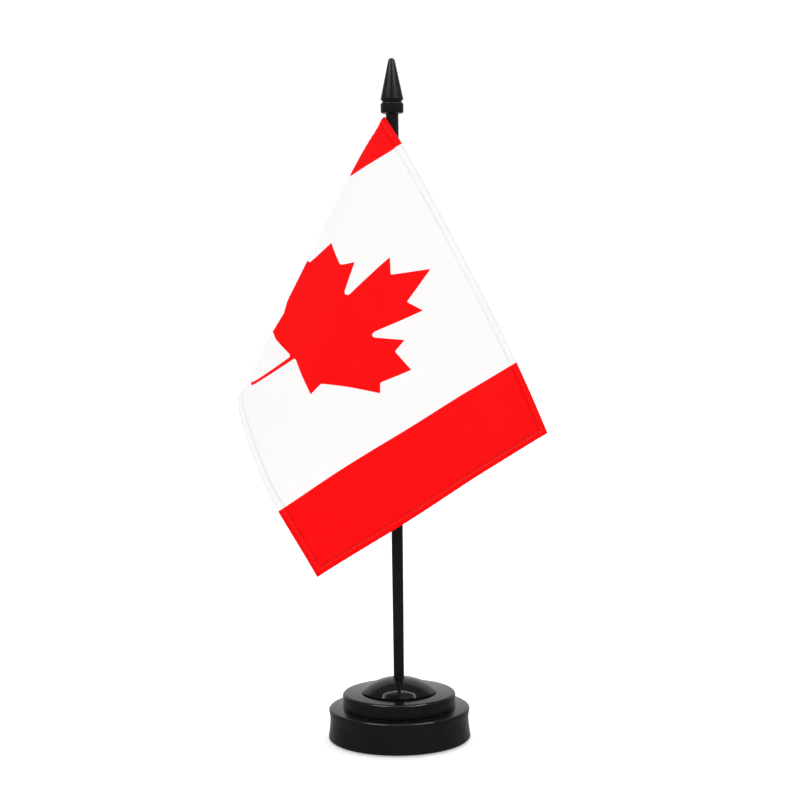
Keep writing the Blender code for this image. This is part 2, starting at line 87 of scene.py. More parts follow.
# The drape from the hoist to the top edge: (sideways, depth) in degrees off the vertical, and how far
# along that line the cloth reaches for each metre of its flat length
DRAPE = ((-0.2, 0.4, 1), (-9, 3.6, 1), (-18, 4.2, 1), (-24.6, 3.0, 1), (-27.8, 1.4, 1), (-28.3, 0.5, 1),
         (-27.8, -0.4, 1), (-25.9, -1.4, 1.02), (-18, -5.7, 1.039), (-8, -6.7, 1.021), (3, -7.4, 1.013),
         (14, -6.0, 0.998), (26.4, -2.0, 0.990))
DRAPE_FOLD = 5  # the row of the fold
DRAPE_PARTS = 600  # the drape is measured out in this many steps
APEX_DROP = 0.0006  # how far the lines of the cone start below the top corner's place
CORNER_DROP = 0.0016  # how much lower the hoist's corner hangs, behind the pole
WRAP_GAP = 0.0012  # from the sleeve out to the cloth that wraps it
WRAP_START = 155  # degrees round the pole
WRAP_END = 225
FAN_GAIN = 0.286  # how much wider the fan opens at the top corner
FAN_REACH = 0.0376  # how far from that corner the widening has died down to about a third
EDGE_BOW = 1.5  # degrees by which the top edge bows outwards
RIPPLE_LENGTH = 0.12  # the ripples grow over this much of the cloth, from the top corner
RIPPLES = ((2.3, 0.5, 0.55), (4.1, 2.2, 0.30), (7.4, 4.4, 0.13))  # (turns, phase, degrees)

# The hem, turned to the back
HEM_WIDTH = 0.0040
HEM_SEAM = HEM_WIDTH * 0.62  # from the cloth's edge to its line of stitches
HEM_SETBACK = 0.0003  # how far its fold lies inside the cloth's edge
HEM_THICKNESS = FLAG_THICKNESS * 0.8
HEM_GAP = 0.00006
HEM_EDGE_SINK = 0.75  # its inner edge lies closer to the cloth, at this share of its height
HEM_PITCH = 0.0030

# The sleeve round the pole, and the two tabs that join it to the cloth
SLEEVE_MID = 0.00382  # radius of the middle of its cloth
SLEEVE_THICKNESS = 0.00028
SLEEVE_TAB = 0.0040
TAB_SEAM = SLEEVE_TAB * 0.55  # from the hoist to the line of stitches
TAB_GAP = 0.00004
HEM_START = SLEEVE_TAB + 0.002
HEM_SEAM_START = SLEEVE_TAB + 0.003
SLEEVE_TURN_IN = 0.62  # radians round the pole from a tab to where the tube is round
SLEEVE_PITCH = 0.0031
SLEEVE_SIDES = 22
SLEEVE_MAP_SQUEEZE = 0.2  # how far its UV map runs for each metre round it
PUCKERS = ((0.00008, 900, 0), (0.00006, 2100, 1))  # down the sleeve: (depth, radians per metre, phase)

# The sewing: each stitch is (share of its length, share of its thickness, sink in thread radii)
THREAD_RADIUS = 0.00008
THREAD_SIDES = 6
THREAD_PROUD = THREAD_RADIUS * 0.3
STITCH_SHAPE = ((0.0, 0.35, -0.9), (0.22, 1.0, 0.0), (0.78, 1.0, 0.0), (1.0, 0.35, -0.9))
STITCH = 0.0019
STITCH_PITCH = 0.0027
STITCH_LEAD = 0.15  # the share of a pitch before each stitch
SEAM_END = 0.001  # how far the sleeve's stitches stop short of its ends

# Shading of the moulded and turned parts
WELD_DISTANCE = 0.000002
SHARP_ANGLE = 32  # degrees

# The studio: a floor, a wall that curves up from it, and lamps
FLOOR_RADIUS = 1.0
WALL_BEND = 1.6
WALL_HEIGHT = 2.2
WALL_PARTS = 24
STAGE_SIDES = 96
FLOOR_GLOW = 0.43
WORLD_COLOUR = (1.0, 0.96, 0.92, 1)
WORLD_LIGHT = 0.36

# Each lamp: name, place, target, size and power. These light the stand, and no glossy face shows them.
LAMPS = (
    ("key", (-0.6, -1.5, 1.2), (0, 0, 0.2), (1.4, 1.2), 3.9),
    ("fill", (1.2, -1.2, 0.8), (0, 0, 0.2), (1.2, 1.2), 2.3),
    ("top", (0, 0.2, 1.9), (0, 0.1, 0), (1.8, 1.8), 3.6),
    ("back", (0.3, 1.4, 0.9), (0, 0, 0.2), (1.4, 1.2), 3.6),
)
# These light it, and glossy faces show them: a soft panel overhead, with a brighter rim
PANELS = (
    ("panel", (0, 0.17, 1.2), (0, 0.17, 0), (0.92, 0.40), 0.9),
    ("panel_back", (0, 0.385, 1.2), (0, 0.385, 0), (0.96, 0.028), 2.2),
    ("panel_left", (-0.475, 0.18, 1.2), (-0.475, 0.18, 0), (0.028, 0.40), 0.8),
    ("panel_right", (0.475, 0.18, 1.2), (0.475, 0.18, 0), (0.028, 0.40), 0.8),
    ("panel_front", (0, -0.04, 1.2), (0, -0.04, 0), (0.96, 0.012), 0.4),
)
# These are cards that only glossy faces show
CARDS = (
    ("card_back", (0, 1.1, 0.60), (0, 0, 0.60), (2.8, 1.10), 5.6),
    ("card_left", (-1.0, -0.1, 0.75), (0, 0, 0.2), (0.7, 0.5), 0.9),
    ("card_right", (1.0, -0.1, 0.75), (0, 0, 0.2), (0.7, 0.5), 0.9),
    ("card_front", (0, -0.52, 1.15), (0, 0, 0.02), (0.5, 0.30), 5),
    ("card_front_left", (-0.62, -0.48, 1.12), (0, 0, 0.02), (0.74, 0.32), 24),
    ("card_front_right", (0.62, -0.48, 1.12), (0, 0, 0.02), (0.74, 0.32), 24),
)

# The camera, in metres, millimetres and degrees
CAMERA_PLACE = (0, -0.7940, 0.2207)
CAMERA_SENSOR = 36
CAMERA_LENS = 70.11
CAMERA_PITCH = 2.914  # downwards
CAMERA_TURN = 0.037
CAMERA_ROLL = -0.698


# ---------------------------------------------------------------- material helpers

def new_material(name):
    """A new material, with its nodes, its links and its shader."""
    material = bpy.data.materials.new(name)
    material.use_nodes = True
    nodes = material.node_tree.nodes
    links = material.node_tree.links
    shader = nodes["Principled BSDF"]
    return material, nodes, links, shader


def noise(nodes, links, coords, scale, detail=4.0, rough=0.5, stretch=None):
    """A noise texture on coords, with an optional stretch of its space."""
    texture = nodes.new("ShaderNodeTexNoise")
    texture.inputs["Scale"].default_value = scale
    texture.inputs["Detail"].default_value = detail
    texture.inputs["Roughness"].default_value = rough
    if stretch is None:
        links.new(coords, texture.inputs["Vector"])
    else:
        mapping = nodes.new("ShaderNodeMapping")
        mapping.inputs["Scale"].default_value = stretch
        links.new(coords, mapping.inputs["Vector"])
        links.new(mapping.outputs["Vector"], texture.inputs["Vector"])
    return texture.outputs["Fac"]


def remap(nodes, links, value, low, high, from_low=0.0, from_high=1.0):
    """The value, taken from its own range to the range low to high."""
    node = nodes.new("ShaderNodeMapRange")
    node.inputs["From Min"].default_value = from_low
    node.inputs["From Max"].default_value = from_high
    node.inputs["To Min"].default_value = low
    node.inputs["To Max"].default_value = high
    links.new(value, node.inputs["Value"])
    return node.outputs["Result"]


def math_node(nodes, links, operation, first, second=None):
    """A sum, product or other function of one or two sockets or numbers."""
    node = nodes.new("ShaderNodeMath")
    node.operation = operation
    for socket, value in zip(node.inputs, (first, second)):
        if value is None:
            continue
        if isinstance(value, (int, float)):
            socket.default_value = value
        else:
            links.new(value, socket)
    return node.outputs["Value"]


def mix_colour(nodes, links, factor, first, second):
    """The first colour where the factor is 0, the second where it is 1. Each is a tuple or a socket."""
    node = nodes.new("ShaderNodeMix")
    node.data_type = "RGBA"
    links.new(factor, node.inputs["Factor"])
    colours = [socket for socket in node.inputs if socket.type == "RGBA"]
    for socket, value in zip(colours, (first, second)):
        if isinstance(value, tuple):
            socket.default_value = (*value, 1.0)
        else:
            links.new(value, socket)
    return next(socket for socket in node.outputs if socket.type == "RGBA")


def bump(nodes, links, height, strength, distance, normal=None):
    """A bump from the height, on top of another normal if one is given."""
    node = nodes.new("ShaderNodeBump")
    node.inputs["Strength"].default_value = strength
    node.inputs["Distance"].default_value = distance
    links.new(height, node.inputs["Height"])
    if normal is not None:
        links.new(normal, node.inputs["Normal"])
    return node.outputs["Normal"]


def object_coords(nodes):
    """Coordinates that stay with the object when it moves."""
    return nodes.new("ShaderNodeTexCoord").outputs["Object"]


# ---------------------------------------------------------------- materials

def plastic(name, colour, rough_low, rough_high, grain, grain_size, level=0.5):
    """Moulded plastic: a faint flow pattern, fine grain or scratches, and uneven gloss."""
    material, nodes, links, shader = new_material(name)
    coords = object_coords(nodes)
    cloudy = noise(nodes, links, coords, 60, 3)
    fine = noise(nodes, links, coords, grain_size, 3, 0.6)
    lighter = tuple(min(1.0, c * 1.7 + 0.002) for c in colour)
    links.new(mix_colour(nodes, links, cloudy, colour, lighter), shader.inputs["Base Color"])
    links.new(remap(nodes, links, cloudy, rough_low, rough_high, 0.3, 0.7), shader.inputs["Roughness"])
    shader.inputs["IOR"].default_value = 1.5
    shader.inputs["Specular IOR Level"].default_value = level
    links.new(bump(nodes, links, fine, grain, 0.0002), shader.inputs["Normal"])
    return material


def metal(name, colour, rough_low, rough_high, size, strength):
    """Bare metal with a cloudy finish: zinc plating, or a rough casting where the strength is high."""
    material, nodes, links, shader = new_material(name)
    coords = object_coords(nodes)
    cloudy = noise(nodes, links, coords, size, 5, 0.6)
    darker = tuple(c * 0.7 for c in colour)
    links.new(mix_colour(nodes, links, cloudy, darker, colour), shader.inputs["Base Color"])
    links.new(remap(nodes, links, cloudy, rough_low, rough_high, 0.3, 0.7), shader.inputs["Roughness"])
    shader.inputs["Metallic"].default_value = 1.0
    links.new(bump(nodes, links, cloudy, strength, 0.0003), shader.inputs["Normal"])
    return material


def soft(name, colour, cell, strength):
    """Foam or soft moulded rubber: matt, with cells or a dull bloom."""
    material, nodes, links, shader = new_material(name)
    coords = object_coords(nodes)
    cells = nodes.new("ShaderNodeTexVoronoi")
    cells.inputs["Scale"].default_value = cell
    links.new(coords, cells.inputs["Vector"])
    bloom = noise(nodes, links, coords, 90, 4)
    lighter = tuple(c * 1.8 for c in colour)
    links.new(mix_colour(nodes, links, bloom, colour, lighter), shader.inputs["Base Color"])
    links.new(remap(nodes, links, bloom, 0.8, 0.98), shader.inputs["Roughness"])
    links.new(bump(nodes, links, cells.outputs["Distance"], strength, 0.0004), shader.inputs["Normal"])
    return material


def cloth_material():
    """Printed polyester: red and white from the sheet's own print attribute, a fine weave, soft sheen."""
    material, nodes, links, shader = new_material("printed_polyester")
    uv = nodes.new("ShaderNodeUVMap")
    uv.uv_map = "cloth"
    printed = nodes.new("ShaderNodeAttribute")
    printed.attribute_name = "print"
    across = nodes.new("ShaderNodeSeparateXYZ")
    links.new(uv.outputs["UV"], across.inputs["Vector"])
    threads = math.tau / WEAVE_PITCH * MAP_SIDE
    warp_turn = math_node(nodes, links, "MULTIPLY", across.outputs["X"], threads)
    warp = math_node(nodes, links, "SINE", warp_turn)
    weft_turn = math_node(nodes, links, "MULTIPLY", across.outputs["Y"], threads)
    weft = math_node(nodes, links, "SINE", weft_turn)
    weave = math_node(nodes, links, "MULTIPLY", warp, weft)
    slub = noise(nodes, links, uv.outputs["UV"], 90, 4, 0.6, (1, 8, 1))
    mottle = noise(nodes, links, uv.outputs["UV"], 14, 4, 0.55)
    red_streak = remap(nodes, links, slub, 0, 1, 0.3, 0.7)
    red = mix_colour(nodes, links, red_streak, (0.84, 0.001, 0.002), (0.93, 0.003, 0.004))
    white_streak = remap(nodes, links, slub, 0, 1, 0.3, 0.7)
    white = mix_colour(nodes, links, white_streak, (0.85, 0.85, 0.855), (0.90, 0.90, 0.90))
    colour = mix_colour(nodes, links, printed.outputs["Fac"], white, red)
    links.new(colour, shader.inputs["Base Color"])
    links.new(remap(nodes, links, mottle, 0.62, 0.78, 0.3, 0.7), shader.inputs["Roughness"])
    shader.inputs["Sheen Weight"].default_value = 0.01
    shader.inputs["Sheen Roughness"].default_value = 0.35
    shader.inputs["Specular IOR Level"].default_value = 0.03
    first = bump(nodes, links, weave, 0.20, 0.00008)
    second = bump(nodes, links, slub, 0.10, 0.0002, first)
    links.new(bump(nodes, links, mottle, 0.12, 0.0012, second), shader.inputs["Normal"])
    return material


def thread_material():
    """Polyester thread, twisted, dyed with the cloth it sews, with painted shade in the grooves between the
    plies of its twist.
    """
    material, nodes, links, shader = new_material("thread")
    printed = nodes.new("ShaderNodeAttribute")
    printed.attribute_name = "print"
    twist = nodes.new("ShaderNodeTexWave")
    twist.inputs["Scale"].default_value = 900
    twist.inputs["Distortion"].default_value = 1.5
    twist.bands_direction = "DIAGONAL"
    links.new(object_coords(nodes), twist.inputs["Vector"])
    # Painted shade: each colour is darker where the twist's bump runs low, in the grooves between the plies
    red = mix_colour(nodes, links, twist.outputs["Fac"], (0.74, 0.002, 0.003), (0.92, 0.004, 0.005))
    white = mix_colour(nodes, links, twist.outputs["Fac"], (0.86, 0.86, 0.865), (0.95, 0.95, 0.95))
    links.new(mix_colour(nodes, links, printed.outputs["Fac"], white, red), shader.inputs["Base Color"])
    links.new(remap(nodes, links, twist.outputs["Fac"], 0.5, 0.7), shader.inputs["Roughness"])
    links.new(bump(nodes, links, twist.outputs["Fac"], 0.5, 0.00008), shader.inputs["Normal"])
    return material


# ---------------------------------------------------------------- the drape

def smooth_point(points, position):
    """A point on the Catmull-Rom curve through the points, position 0 at the first."""
    index = min(int(position), len(points) - 2)
    share = position - index
    before = points[max(index - 1, 0)]
    start = points[index]
    end = points[index + 1]
    after = points[min(index + 2, len(points) - 1)]
    result = []
    for p0, p1, p2, p3 in zip(before, start, end, after):
        value = p1 + 0.5 * share * (p2 - p0 + share * (2 * p0 - 5 * p1 + 4 * p2 - p3
                                                       + share * (3 * p1 - p0 - 3 * p2 + p3)))
        result.append(value)
    return result


def ray_direction(sideways, depth):
    """The direction that leans from straight down by these angles, to +X and to +Y."""
    return Vector((math.tan(math.radians(sideways)), math.tan(math.radians(depth)), -1)).normalized()


class Drape:
    """Takes a point of the flat flag to its place in the drape, which is a cone from the top corner."""

    def __init__(self):
        last = len(DRAPE) - 1
        self.places = [last * i / DRAPE_PARTS for i in range(DRAPE_PARTS + 1)]
        turned = [0.0]
        for before, after in zip(self.places, self.places[1:]):
            one = ray_direction(*smooth_point(DRAPE, before)[:2])
            two = ray_direction(*smooth_point(DRAPE, after)[:2])
            turned.append(turned[-1] + one.angle(two))
        self.angles = [angle * (math.pi / 2) / turned[-1] for angle in turned]
        self.fold_angle = self.angles[round(DRAPE_PARTS * DRAPE_FOLD / last)]
        self.wrap_radius = SLEEVE_RADIUS + WRAP_GAP

    def position_of(self, angle):
        """The place along the drape with this flat angle from the hoist."""
        low, high = 0, len(self.angles) - 1
        while high - low > 1:
            middle = (low + high) // 2
            if self.angles[middle] <= angle:
                low = middle
            else:
                high = middle
        share = (angle - self.angles[low]) / (self.angles[high] - self.angles[low])
        return self.places[low] + share * (self.places[high] - self.places[low])

    def wrapped(self, angle):
        """How much of the wrap round the pole lies before this flat angle, from 0 to 1."""
        return min(angle / self.fold_angle, 1)

    def angle_at(self, across, down):
        """The flat angle of the straight line through a point of the flat flag."""
        low, high = 0.0, math.pi / 2
        for _ in range(30):
            middle = (low + high) / 2
            reached = WRAP_LENGTH * self.wrapped(middle) + down * math.tan(middle)
            if reached < across:
                low = middle
            else:
                high = middle
        return (low + high) / 2

    def ripple(self, angle, along):
        """Extra depth in degrees: shallow conical waves that start past the fold and grow down the flag."""
        past = max(angle - self.fold_angle, 0) / (math.pi / 2 - self.fold_angle)
        if past == 0:
            return 0.0
        waves = sum(size * math.sin(turns * math.pi * past + phase) for turns, phase, size in RIPPLES)
        # In full from a quarter of the way between the fold and the top edge
        return waves * min(past * 4, 1) ** 2 * min(along / RIPPLE_LENGTH, 1)

    def place(self, across, down):
        """Where this point of the flat flag hangs."""
        angle = self.angle_at(across, down)
        offset = WRAP_LENGTH * self.wrapped(angle)
        along = math.hypot(max(across - offset, 0), down)
        sideways, depth, reach = smooth_point(DRAPE, self.position_of(angle))
        sideways *= 1 + FAN_GAIN * math.exp(-along / FAN_REACH)
        edge = max(math.degrees(angle) / 30 - 2, 0)  # from 0 at 60 degrees to 1 at the top edge
        sideways += EDGE_BOW * edge * math.sin(math.pi * min(along / FLAG_LENGTH, 1))
        depth += self.ripple(angle, along)
        turn = math.radians(WRAP_START + (WRAP_END - WRAP_START) * self.wrapped(angle))
        top = FLAG_TOP - APEX_DROP - CORNER_DROP * (1 - self.wrapped(angle))
        start = Vector((self.wrap_radius * math.cos(turn), self.wrap_radius * math.sin(turn), top))
        return start + ray_direction(sideways, depth) * (along * reach)

    def normal(self, across, down):
        """The cloth's normal, out of the face that shows in front."""
        step = 0.0003
        flywards = self.place(min(across + step, FLAG_LENGTH), down) - self.place(max(across - step, 0), down)
        downwards = self.place(across, min(down + step, FLAG_HOIST)) - self.place(across, max(down - step, 0))
        return flywards.cross(downwards).normalized()

    def raised(self, across, down, height):
        """The point's place, raised off the front face by the height."""
        return self.place(across, down) + self.normal(across, down) * height


# ---------------------------------------------------------------- the flag

def rounded(corner, before, after, radius):
    """Points of a fillet at a corner of an outline."""
    parts = 4
    to_before = (Vector(before) - Vector(corner)).normalized()
    to_after = (Vector(after) - Vector(corner)).normalized()
    half = to_before.angle(to_after) / 2
    reach = radius / math.tan(half)
    centre = Vector(corner) + (to_before + to_after).normalized() * (radius / math.sin(half))
    start = Vector(corner) + to_before * reach
    end = Vector(corner) + to_after * reach
    points = []
    for i in range(parts + 1):
        arm = (start - centre).slerp(end - centre, i / parts).normalized()
        points.append(tuple(centre + arm * radius))
    return points


def leaf_outline():
    """The leaf on the flat flag, as (across, down) points all the way round."""
    loop = []
    for side, corners in ((1, LEAF_FLY_SIDE), (-1, LEAF_HOIST_SIDE)):
        points = []
        for index, (down, width, fillet) in enumerate(corners):
            if fillet == 0:
                points.append((down, width))
            else:
                points += rounded((down, width), corners[index - 1][:2], corners[index + 1][:2], fillet)
        loop += [(LEAF_AXIS + side * width, LEAF_TIP + down) for down, width in points[::side]]
    return loop[:-1]


def between(start, end, share):
    """The point at this share of the way from start to end."""
    return start[0] + (end[0] - start[0]) * share, start[1] + (end[1] - start[1]) * share


def spaced_loop(points, step):
    """The closed outline with points no further apart than step."""
    result = []
    for start, end in zip(points, points[1:] + points[:1]):
        parts = max(1, math.ceil(math.dist(start, end) / step))
        result += [between(start, end, i / parts) for i in range(parts)]
    return result


def inside(point, outline):
    """Whether the point lies in the closed outline, by the crossings of a line from it."""
    x, y = point
    found = False
    for (x1, y1), (x2, y2) in zip(outline, outline[1:] + outline[:1]):
        if (y1 > y) != (y2 > y) and x < (x2 - x1) * (y - y1) / (y2 - y1) + x1:
            found = not found
    return found


def hoist_band(down):
    """Where the red band along the hoist ends, this far down the flat flag."""
    return HOIST_BAND + BAND_LEAN * min(down / BAND_LEAN_LENGTH, 1)


def in_bands(across, down):
    """Whether a point of the flat flag lies in one of its two red bands."""
    return across < hoist_band(down) or across > FLAG_LENGTH - FLY_BAND


def print_lines():
    """The leaf, the border and the ends of the bands on the flat flag, each as (points, closed)."""
    leaf = spaced_loop(leaf_outline(), GRID)
    border = spaced_loop([(0, 0), (FLAG_LENGTH, 0), (FLAG_LENGTH, FLAG_HOIST), (0, FLAG_HOIST)], GRID)
    parts = math.ceil(FLAG_HOIST / GRID)
    stops = [FLAG_HOIST * i / parts for i in range(parts + 1)]
    hoist_line = [(hoist_band(down), down) for down in stops]
    fly_line = [(FLAG_LENGTH - FLY_BAND, down) for down in stops]
    return (leaf, True), (border, True), (hoist_line, False), (fly_line, False)


def cell_of(point):
    """The square of the grid that holds the point."""
    return int(point[0] / GRID), int(point[1] / GRID)


def crowded(point, taken):
    """Whether one of the points in the cells around this one lies too close to it."""
    column, row = cell_of(point)
    cells = [(column + i, row + j) for i in range(-1, 2) for j in range(-1, 2)]
    near = [other for cell in cells for other in taken.get(cell, ())]
    return any(math.dist(point, other) < CLOSEST * GRID for other in near)


def flat_triangles():
    """The flat flag as triangles whose edges follow the print."""
    points = []
    edges = []
    for line, closed in print_lines():
        first = len(points)
        points += line
        edges += [(first + i, first + i + 1) for i in range(len(line) - 1)]
        if closed:
            edges.append((first + len(line) - 1, first))
    taken = {}
    for point in points:
        taken.setdefault(cell_of(point), []).append(point)
    rows = round(FLAG_HOIST / (GRID * math.sin(math.pi / 3)))
    columns = round(FLAG_LENGTH / GRID)
    for row in range(1, rows):
        shift = 0.5 if row % 2 else 0.25
        for column in range(columns):
            point = (FLAG_LENGTH * (column + shift) / columns, FLAG_HOIST * row / rows)
            if not crowded(point, taken):
                points.append(point)
    verts, _, faces, *_ = delaunay_2d_cdt([Vector(p) for p in points], edges, [], 1, 1e-6)
    return [tuple(v) for v in verts], faces


def new_piece(name, verts, faces, material):
    """A smooth mesh object of one material, in the scene."""
    mesh = bpy.data.meshes.new(name)
    mesh.from_pydata(verts, [], faces)
    mesh.update()
    mesh.shade_smooth()
    mesh.materials.append(material)
    piece = bpy.data.objects.new(name, mesh)
    bpy.context.scene.collection.objects.link(piece)
    return piece


def thicken(piece, thickness):
    """Gives the cloth its thickness, half to each side."""
    solid = piece.modifiers.new("thickness", "SOLIDIFY")
    solid.thickness = thickness
    solid.offset = 0


def map_cloth(piece, flat):
    """Lays the flat places of the vertices out as the piece's UV map."""
    uv = piece.data.uv_layers.new(name="cloth")
    for loop in piece.data.loops:
        across, down = flat[loop.vertex_index]
        uv.data[loop.index].uv = (across / MAP_SIDE, 1 - down / MAP_SIDE)


def middle_of(polygon, flat):
    """The middle of a face, on the flat flag."""
    return tuple(sum(flat[i][j] for i in polygon.vertices) / len(polygon.vertices) for j in (0, 1))


def print_red(piece, is_red):
    """Marks each face red or white, as is_red says of the middle of the face."""
    printed = piece.data.attributes.new("print", "FLOAT", "FACE")
    for polygon in piece.data.polygons:
        printed.data[polygon.index].value = 1.0 if is_red(polygon) else 0.0


def flag(drape, material):
    """The cloth itself: one sheet, bent over the fold and printed on both faces."""
    verts, faces = flat_triangles()
    sheet = new_piece("flag_sheet", [drape.place(*point) for point in verts], faces, material)
    map_cloth(sheet, verts)
    leaf = leaf_outline()

    def is_red(polygon):
        middle = middle_of(polygon, verts)
        return in_bands(*middle) or inside(middle, leaf)

    print_red(sheet, is_red)
    thicken(sheet, FLAG_THICKNESS)
    return sheet


def strip(name, rows, flat_rows, material):
    """A band of cloth through rows of points, printed with the bands of the flag."""
    verts = [point for row in rows for point in row]
    flat = [point for row in flat_rows for point in row]
    wide = len(rows[0])
    faces = [(i * wide + j, i * wide + j + 1, (i + 1) * wide + j + 1, (i + 1) * wide + j)
             for i in range(len(rows) - 1) for j in range(wide - 1)]
    piece = new_piece(name, verts, faces, material)
    map_cloth(piece, flat)
    print_red(piece, lambda polygon: in_bands(*middle_of(polygon, flat)))
    return piece


def steps(start, end, pitch, marks=()):
    """Evenly pitched places from start to end, with the marks among them."""
    stops = [start] + [m for m in marks if min(start, end) < m < max(start, end)] + [end]
    stops.sort(reverse=end < start)
    result = [start]
    for low, high in zip(stops, stops[1:]):
        parts = max(1, round(abs(high - low) / pitch))
        result += [low + (high - low) * i / parts for i in range(1, parts + 1)]
    return result


def hem(drape, material):
    """The turned hem behind the top, fly and bottom edges, as one band with mitred corners."""
    insets = (HEM_SETBACK, HEM_WIDTH * 0.5, HEM_WIDTH)
    top_marks = (hoist_band(0), FLAG_LENGTH - FLY_BAND)
    bottom_marks = (hoist_band(FLAG_HOIST), FLAG_LENGTH - FLY_BAND)
    flat_rows = []
    for across in steps(HEM_START, FLAG_LENGTH - HEM_WIDTH, HEM_PITCH, top_marks):
        flat_rows.append([(across, inset) for inset in insets])
    flat_rows.append([(FLAG_LENGTH - inset, inset) for inset in insets])
    for down in steps(HEM_WIDTH, FLAG_HOIST - HEM_WIDTH, HEM_PITCH):
        flat_rows.append([(FLAG_LENGTH - inset, down) for inset in insets])
    flat_rows.append([(FLAG_LENGTH - inset, FLAG_HOIST - inset) for inset in insets])
    for across in steps(FLAG_LENGTH - HEM_WIDTH, HEM_START, HEM_PITCH, bottom_marks):
        flat_rows.append([(across, FLAG_HOIST - inset) for inset in insets])
    lift = -(FLAG_THICKNESS + HEM_GAP)
    lifts = (lift, lift, lift * HEM_EDGE_SINK)
    rows = [[drape.raised(*point, height) for point, height in zip(row, lifts)] for row in flat_rows]
    piece = strip("flag_hem", rows, flat_rows, material)
    thicken(piece, HEM_THICKNESS)
    return piece


def sleeve_row(drape, down):
    """One row of the sleeve's points, from its front tab round the pole to its back tab."""
    height = FLAG_TOP - down
    hang = down - APEX_DROP - CORNER_DROP
    gap = FLAG_THICKNESS / 2 + SLEEVE_THICKNESS / 2 + TAB_GAP
    tab = (SLEEVE_TAB, SLEEVE_TAB * 0.66, SLEEVE_TAB * 0.33, 0.0)
    front = [drape.raised(across, hang, gap) for across in tab]
    back = [drape.raised(across, hang, -gap) for across in tab]
    for point in front + back:
        point.z = height
    first = math.atan2(front[-1].y, front[-1].x) % math.tau
    last = math.atan2(back[-1].y, back[-1].x) % math.tau
    if first < last:
        first += math.tau
    start = first + SLEEVE_TURN_IN
    end = last + math.tau - SLEEVE_TURN_IN
    if end < start:
        end += math.tau
    pucker = sum(depth * math.sin(down * rate + phase) for depth, rate, phase in PUCKERS)
    loop = []
    for i in range(SLEEVE_SIDES + 1):
        angle = start + (end - start) * i / SLEEVE_SIDES
        radius = SLEEVE_MID + pucker * math.sin(3 * angle)
        loop.append(Vector((radius * math.cos(angle), radius * math.sin(angle), height)))
    return front + loop + back[::-1]


def sleeve(drape, material):
    """The sleeve round the pole: from the front of the hoist seam, round, and back to behind the seam."""
    start = -0.0001  # just past the hoist on the flat flag, so all of the sleeve is red
    rows = []
    flat_rows = []
    for down in steps(FLAG_TOP - SLEEVE_HIGH.z, FLAG_TOP - SLEEVE_LOW.z, SLEEVE_PITCH):
        row = sleeve_row(drape, down)
        length = 0.0
        flat = [(start, down)]
        for before, point in zip(row, row[1:]):
            length += (point - before).length
            flat.append((start - length * SLEEVE_MAP_SQUEEZE, down))
        rows.append(row)
        flat_rows.append(flat)
    piece = strip("sleeve", rows, flat_rows, material)
    thicken(piece, SLEEVE_THICKNESS)
    return piece


def stitch_run(start, end):
    """The ends of each stitch along a straight seam of the flat flag."""
    length = math.dist(start, end)
    count = int(length / STITCH_PITCH)
    lows = [(i + STITCH_LEAD) / count for i in range(count)]
    return [(between(start, end, low), between(start, end, low + STITCH / length)) for low in lows]


def stitch_points(first, second, out):
    """Rings of points round one stitch, which dives into the cloth at both ends."""
    along = second - first
    side = along.cross(out).normalized() * THREAD_RADIUS
    lift = out * THREAD_RADIUS
    points = []
    for share, grow, sink in STITCH_SHAPE:
        middle = first + along * share + lift * sink
        for turn in range(THREAD_SIDES):
            angle = turn * math.tau / THREAD_SIDES
            points.append(middle + side * (grow * math.cos(angle)) + lift * (grow * math.sin(angle)))
    return points


def stitch_faces(base):
    """The faces of one stitch whose first point has the number base."""
    faces = []
    for ring in range(len(STITCH_SHAPE) - 1):
        low = base + ring * THREAD_SIDES
        for turn in range(THREAD_SIDES):
            beside = (turn + 1) % THREAD_SIDES
            faces.append((low + turn, low + beside, low + beside + THREAD_SIDES, low + turn + THREAD_SIDES))
    last = base + (len(STITCH_SHAPE) - 1) * THREAD_SIDES
    faces.append(tuple(base + turn for turn in reversed(range(THREAD_SIDES))))
    faces.append(tuple(last + turn for turn in range(THREAD_SIDES)))
    return faces


def stitches(drape, material):
    """Lockstitches along the hem and down the sleeve's seam, on both faces."""
    fly = FLAG_LENGTH - HEM_SEAM
    low_edge = FLAG_HOIST - HEM_SEAM
    corners = ((HEM_SEAM_START, HEM_SEAM), (fly, HEM_SEAM), (fly, low_edge), (HEM_SEAM_START, low_edge))
    hem_path = [pair for ends in zip(corners, corners[1:]) for pair in stitch_run(*ends)]
    top = FLAG_TOP - SLEEVE_HIGH.z - APEX_DROP - CORNER_DROP
    bottom = FLAG_HOIST - APEX_DROP - CORNER_DROP
    seam_path = stitch_run((TAB_SEAM, top + SEAM_END), (TAB_SEAM, bottom - SEAM_END))
    outside = FLAG_THICKNESS / 2 + SLEEVE_THICKNESS + TAB_GAP + THREAD_PROUD
    verts = []
    faces = []
    flat = []
    for path, height in ((hem_path, FLAG_THICKNESS / 2 + THREAD_PROUD),
                         (hem_path, -(FLAG_THICKNESS * 1.75 + THREAD_PROUD)),
                         (seam_path, outside), (seam_path, -outside)):
        for low, high in path:
            middle = ((low[0] + high[0]) / 2, (low[1] + high[1]) / 2)
            out = drape.normal(*middle) * (1 if height > 0 else -1)
            faces += stitch_faces(len(verts))
            verts += stitch_points(drape.raised(*low, height), drape.raised(*high, height), out)
            flat += [middle] * (len(verts) - len(flat))
    piece = new_piece("flag_stitches", verts, faces, material)
    print_red(piece, lambda polygon: in_bands(*flat[polygon.vertices[0]]))
    return piece


def smoothed(node):
    """Shades a turned part round, and keeps its real edges sharp."""
    custom = node.data.attributes.get("custom_normal")
    if custom is not None:
        node.data.attributes.remove(custom)
    node.data.shade_smooth()
    weld = node.modifiers.new("weld", "WELD")
    weld.merge_threshold = WELD_DISTANCE
    edges = node.modifiers.new("edges", "EDGE_SPLIT")
    edges.split_angle = math.radians(SHARP_ANGLE)
    edges.use_edge_sharp = False


